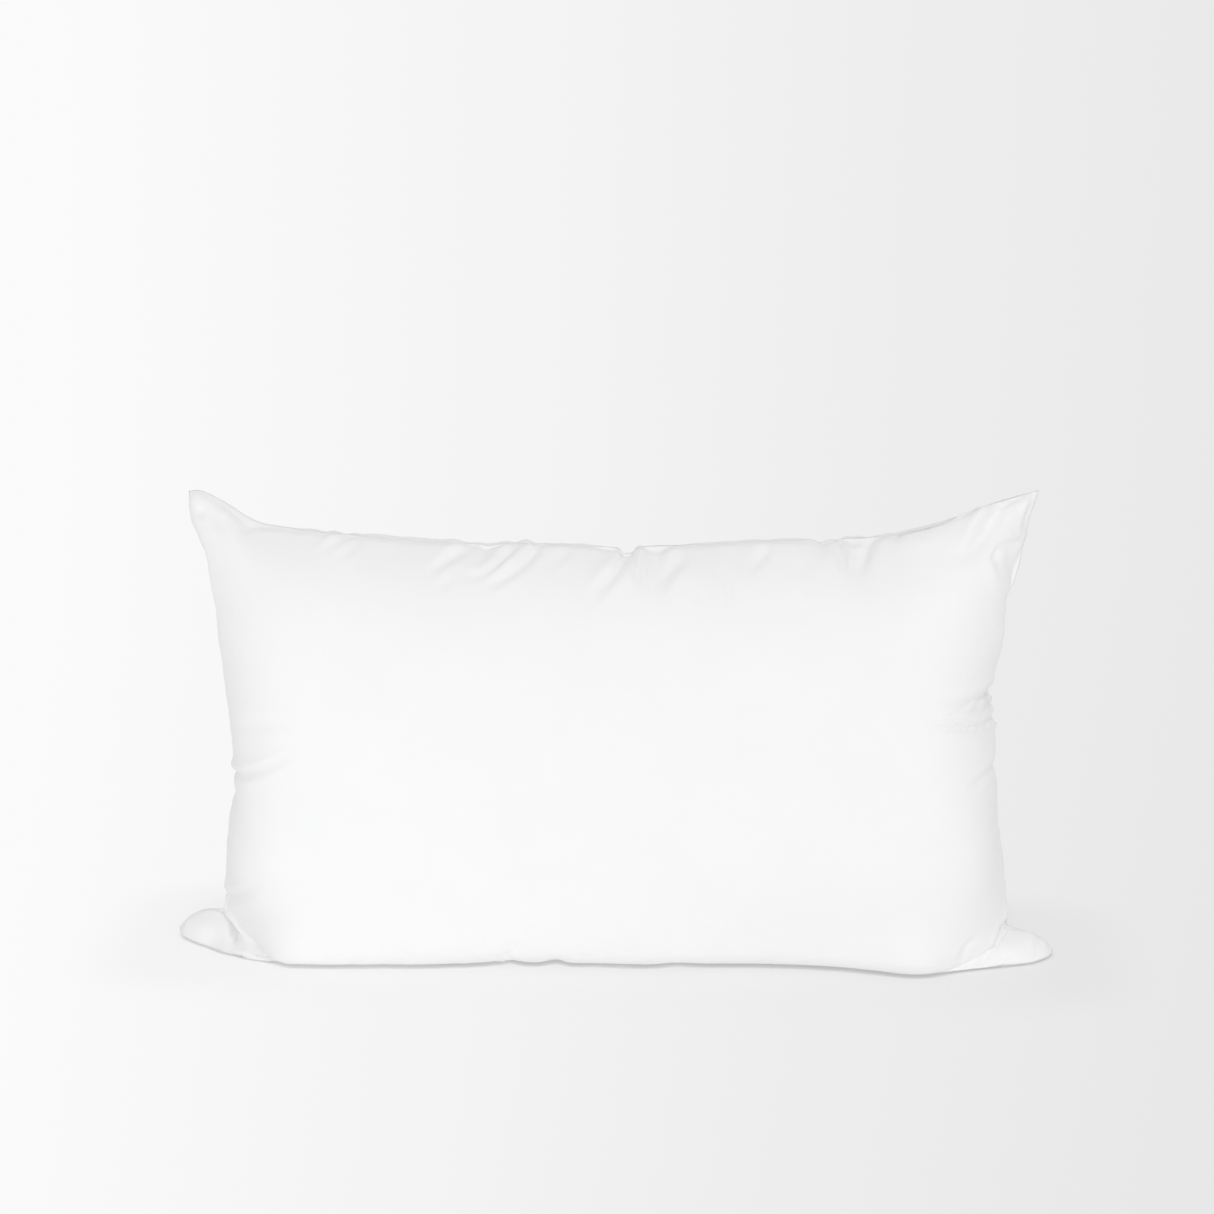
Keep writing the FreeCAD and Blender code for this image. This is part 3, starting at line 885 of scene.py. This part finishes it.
def cotton_material():
    """Fine plain-woven cotton: crossing threads, a few thicker ones, and faint blotches."""
    material, shader = new_material("cotton", (0.93, 0.93, 0.93), 0.82, 0.02)
    link = material.node_tree.links.new
    flat = add_node(material, "ShaderNodeUVMap", uv_map="cloth").outputs["UV"]
    vary_color(material, shader, flat, COTTON_LOW, COTTON_HIGH, 22.0)
    threads = []
    for direction in "XY":
        wave = add_node(
            material, "ShaderNodeTexWave", bands_direction=direction, Scale=WAVE_SCALE,
            Distortion=0.6, **{"Detail Scale": 0.4},
        )
        link(flat, wave.inputs["Vector"])
        threads.append(wave.outputs["Fac"])
    weave = calculate(material, "MULTIPLY", *threads)
    stretched = add_node(material, "ShaderNodeMapping", Scale=(60.0, 1400.0, 1.0))
    link(flat, stretched.inputs["Vector"])
    slubs = add_node(material, "ShaderNodeTexNoise", Scale=1.0, Detail=2.0)
    link(stretched.outputs["Vector"], slubs.inputs["Vector"])
    surface = calculate(material, "ADD", weave, slubs.outputs["Fac"])
    add_bump(material, shader, surface, 0.03 * MM, 0.35)
    rough = spread(material, slubs.outputs["Fac"], 0, 1, *COTTON_ROUGH)
    link(rough, shader.inputs["Roughness"])
    return material


def fibre_material(name, color, scale, stretch, distance, roughness, sheen):
    """Fibres seen close: filling, thread or tape, by the stretch of their noise."""
    material, shader = new_material(name, color, roughness, sheen)
    link = material.node_tree.links.new
    place = add_node(material, "ShaderNodeTexCoord").outputs["Object"]
    mapping = add_node(material, "ShaderNodeMapping", Scale=stretch)
    link(place, mapping.inputs["Vector"])
    darker = tuple(0.95 * channel for channel in color)
    vary_color(material, shader, place, darker, color, scale * 0.1)
    fibres = add_node(material, "ShaderNodeTexNoise", Scale=scale, Detail=4.0, Roughness=0.65)
    link(mapping.outputs["Vector"], fibres.inputs["Vector"])
    add_bump(material, shader, fibres.outputs["Fac"], distance, 0.6)
    return material


# ---- stage, light and camera

# The stage tones are painted light: the ground glows, brighter on the left and falling off to the
# right as if lit from there.
STAGE_TONES = (0.957, 0.922, 0.878, 0.838, 0.806)  # from left to right
STAGE_SPREAD = 0.42  # how far to each side of the pillow the tones reach
STAGE_WIDENS, STAGE_NEAREST = 2.4, 0.25  # they fan out with depth, but no less than this share
STAGE_LIT = 0.5  # how much of the tone near the pillow comes from the light
STAGE_ALBEDO = 0.57  # chosen so that the lit share has nearly the tone of the share it replaces
FOOTPRINT = (0.29, 0.05, 0)  # half the ground that the pillow covers
LIT_NEAR, LIT_FAR = 0.015, 0.09  # how far from the footprint the lit share fades out
# Painted contact shadow: a dark line along the pillow's foot, where the ground is closed in.
CONTACT_REACH, CONTACT_SHADE = 3.6 * MM, 0.27  # of the dark line along the pillow's foot
CONTACT_OPEN = (0.25, 0.95)  # how open the ground is where that line is darkest, and where it ends


def stage_material():
    """Pale ground that glows with painted light, brighter on the left. Near the pillow part of the
    glow gives way to real light, so shadows stay faint.
    """
    material = bpy.data.materials.new("stage")
    material.use_nodes = True
    tree = material.node_tree
    tree.nodes.remove(tree.nodes["Principled BSDF"])
    link = tree.links.new
    place = add_node(material, "ShaderNodeNewGeometry").outputs["Position"]
    parts = add_node(material, "ShaderNodeSeparateXYZ")
    link(place, parts.inputs["Vector"])
    ahead = calculate(material, "MULTIPLY_ADD", parts.outputs["Y"], 1 / STAGE_WIDENS, 1)
    ahead = calculate(material, "MAXIMUM", ahead, STAGE_NEAREST)
    fanned = calculate(material, "DIVIDE", parts.outputs["X"], ahead)
    ramp = add_node(material, "ShaderNodeValToRGB")
    stops = ramp.color_ramp.elements
    stops.new(0.25), stops.new(0.5), stops.new(0.75)
    for stop, tone in zip(stops, STAGE_TONES):
        stop.color = (tone, tone, tone, 1)
    link(spread(material, fanned, -STAGE_SPREAD, STAGE_SPREAD), ramp.inputs["Fac"])

    distance = calculate(material, "ABSOLUTE", place, kind=VECTOR)
    distance = calculate(material, "SUBTRACT", distance, FOOTPRINT, kind=VECTOR)
    distance = calculate(material, "MAXIMUM", distance, (0, 0, 0), kind=VECTOR)
    length = calculate(material, "LENGTH", distance, kind=VECTOR)
    # Painted light: the ground's glow in the stage tones, which also lights the pillow from below.
    painted_glow = add_node(material, "ShaderNodeEmission")
    link(ramp.outputs["Color"], painted_glow.inputs["Color"])
    lit_color = add_node(material, VECTOR, operation="SCALE")
    link(ramp.outputs["Color"], lit_color.inputs["Vector"])
    # Painted contact shadow: both shares of the ground's tone darken where the pillow closes the
    # ground in.
    sky = add_node(material, "ShaderNodeAmbientOcclusion", samples=8, Distance=CONTACT_REACH)
    painted_contact_shadow = spread(material, sky.outputs["AO"], *CONTACT_OPEN, 1 - CONTACT_SHADE)
    for near, far, socket in ((1 - STAGE_LIT, 1.0, painted_glow.inputs["Strength"]),
                              (STAGE_ALBEDO, 0.0, lit_color.inputs["Scale"])):
        fade = spread(material, length, LIT_NEAR, LIT_FAR, near, far, "SMOOTHSTEP")
        link(calculate(material, "MULTIPLY", fade, painted_contact_shadow), socket)
    lit = add_node(material, "ShaderNodeBsdfDiffuse")
    link(lit_color.outputs["Vector"], lit.inputs["Color"])
    mix = add_node(material, "ShaderNodeAddShader")
    link(painted_glow.outputs[0], mix.inputs[0])
    link(lit.outputs[0], mix.inputs[1])
    link(mix.outputs[0], tree.nodes["Material Output"].inputs["Surface"])
    return material


def build_stage():
    """A floor, and a wall that curves up from it. The wall lights nothing, the floor does."""
    radius, floor_end, front, half_width, top = 0.8, 0.8, -9.0, 9.0, 4.0
    ground = -0.1 * MM
    curve = [(floor_end, ground)]
    for step in range(1, 13):
        angle = step * math.pi / 24
        curve.append((floor_end + radius * math.sin(angle), radius - radius * math.cos(angle)))
    curve.append((floor_end + radius, top))
    material = stage_material()
    built = []
    for name, profile in (("floor", [(front, ground), curve[0]]), ("wall", curve)):
        points = [(x, y, z) for y, z in profile for x in (-half_width, half_width)]
        piece = new_mesh(name, points, grid_faces(np.arange(len(points)).reshape(-1, 2)))
        piece.data.polygons.foreach_set("use_smooth", [True] * len(piece.data.polygons))
        piece.data.materials.append(material)
        built.append(piece)
    floor, wall = built
    floor.visible_shadow = wall.visible_diffuse = False
    return built


# The sky's strength, and how much it grows to the right, to the back and upwards.
SKY_MIDDLE, SKY_LEAN = 0.54, (0.065, 0.10, 0.17)
# The one large soft light: where it shines to, its strength, and its breadth in degrees.
FRONT_LIGHT, FRONT_STRENGTH, FRONT_BREADTH = (-0.05, 1.0, -0.45), 1.04, 40


def light_scene():
    world = bpy.data.worlds.new("studio")
    world.use_nodes = True
    background = world.node_tree.nodes["Background"]
    background.inputs["Color"].default_value = (1, 1, 1, 1)
    direction = add_node(world, "ShaderNodeTexCoord").outputs["Generated"]
    lean = calculate(world, "DOT_PRODUCT", direction, SKY_LEAN, kind=VECTOR)
    strength = calculate(world, "ADD", lean, SKY_MIDDLE)
    world.node_tree.links.new(strength, background.inputs["Strength"])
    bpy.context.scene.world = world
    light = bpy.data.lights.new("front_light", "SUN")
    light.energy = FRONT_STRENGTH
    light.angle = math.radians(FRONT_BREADTH)
    lamp = new_object("front_light", light)
    lamp.rotation_euler = Vector(FRONT_LIGHT).to_track_quat("-Z", "Y").to_euler()
    bpy.context.scene.view_settings.view_transform = "Standard"


def place_camera():
    """A long lens, low in front and a little to the right."""
    turn, rise, distance = math.radians(3.4), math.radians(16), 2.5
    target, aim = Vector((0, 0, 0.150)), Vector((-0.0055, 0, 0.2399))
    camera = bpy.data.cameras.new("camera")
    camera.sensor_width = 36
    camera.lens = 108.74
    holder = new_object("camera", camera)
    level = math.cos(rise)
    away = Vector((math.sin(turn) * level, -math.cos(turn) * level, math.sin(rise)))
    holder.location = target + distance * away
    holder.rotation_euler = (aim - holder.location).to_track_quat("-Z", "Y").to_euler()
    bpy.context.scene.camera = holder


def build_pillow():
    """Every piece of the pillow, and what each of them stands for."""
    grids = simulate_case()
    smooth = [smooth_panel(grid) for grid in grids]
    seam = Seam(*smooth)
    front, back = (detailed_panel(p, side, seam) for p, side in zip(smooth, (FRONT, BACK)))
    cotton = cotton_material()
    thread = fibre_material("thread", (0.94, 0.94, 0.93), 3000.0, (1, 1, 1), 0.05 * MM, 0.75, 0.1)
    wool = fibre_material("filling", (0.93, 0.92, 0.90), 120.0, (1, 1, 1), 1.2 * MM, 0.95, 0.2)
    tape = fibre_material("tape", (0.92, 0.92, 0.91), 2500.0, (1, 1, 0.15), 0.04 * MM, 0.5, 0.1)

    front_cloth = cloth_piece("front_cloth", front, FRONT, seam, cotton)
    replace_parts(front_cloth, "front_panel")
    back_cloth = cloth_piece("back_cloth", back, BACK, seam, cotton)
    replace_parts(back_cloth, "back_panel")
    filling = filling_piece("loose_filling", grids, wool)
    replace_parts(filling, "fill")
    for name, lines, node in (
        ("needle_stitches", lockstitch(seam, FRONT), "seam_needle_thread"),
        ("bobbin_stitches", lockstitch(seam, BACK), "seam_bobbin_thread"),
        ("closing_stitches", slip_stitch(seam), "closing_thread"),
        ("overlock_stitches", overlock(seam), "overlock_thread"),
    ):
        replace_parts(thread_piece(name, lines, thread), node)
    label = label_piece("blank_label", back, seam, tape)
    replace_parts(label, "care_label")


build_pillow()
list(build_stage())
light_scene()
place_camera()
